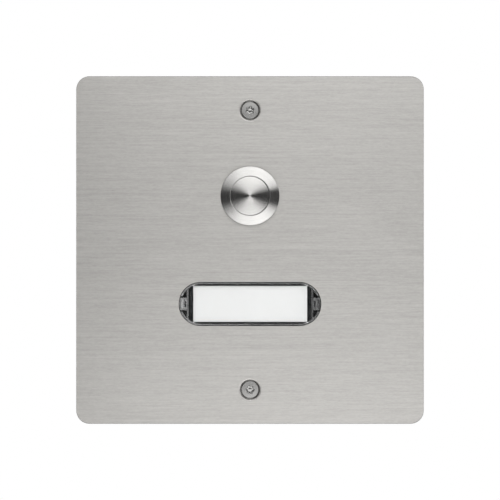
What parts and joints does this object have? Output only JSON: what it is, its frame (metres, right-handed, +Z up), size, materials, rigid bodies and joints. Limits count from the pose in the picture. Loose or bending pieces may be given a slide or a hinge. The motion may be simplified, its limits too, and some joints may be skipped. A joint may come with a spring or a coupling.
{
  "type": "doorbell push button panel",
  "caption": "Square brushed steel wall panel with a round sprung push button, a clear name window with a blank card, and countersunk fixing screws.",
  "frame": {"origin": "centre of the panel on the wall plane, which is the back face of the gasket", "axes": "+Y into the wall, so the front faces -Y; +Z up; +X to the right as seen from the front"},
  "size_m": [0.13, 0.0299, 0.13],
  "materials": {
    "plate_steel": "brushed from side to side",
    "button_steel": "turned, satin",
    "screw_steel": "plain stainless",
    "nut_steel": "plain stainless",
    "spring_steel": "drawn wire",
    "contact_brass": "stamped strip",
    "gasket_foam": "closed-cell foam",
    "seal_rubber": "matt",
    "base_plastic": "moulded, fine grain",
    "tray_plastic": "moulded, fine grain",
    "cover_clear": "clear, polished",
    "label_card": "blank white card"
  },
  "bodies": {
    "panel": {"face_plate": "plate_steel", "wall_gasket": "gasket_foam", "panel_screws": "screw_steel", "button_housing": "button_steel", "flange_seal": "seal_rubber", "mounting_nut": "nut_steel", "return_spring": "spring_steel", "switch_base": "base_plastic", "terminal_left": "contact_brass", "terminal_right": "contact_brass", "name_cover": "cover_clear", "name_label": "label_card", "name_carrier": "tray_plastic", "carrier_seal": "seal_rubber", "carrier_studs": "nut_steel", "carrier_clips": "spring_steel"},
    "button": {"button_cap": "button_steel", "cap_seal": "seal_rubber", "retaining_ring": "spring_steel", "contact_carrier": "base_plastic", "contact_bridge": "contact_brass"}
  },
  "joints": [
    {"name": "button_press", "type": "slide", "parent": "panel", "child": "button", "axis": [0, 1, 0], "range_m": [0, 0.002], "stiffness_N_per_m": 1000, "springref_m": -0.002, "deforming": ["return_spring"]}
  ]
}
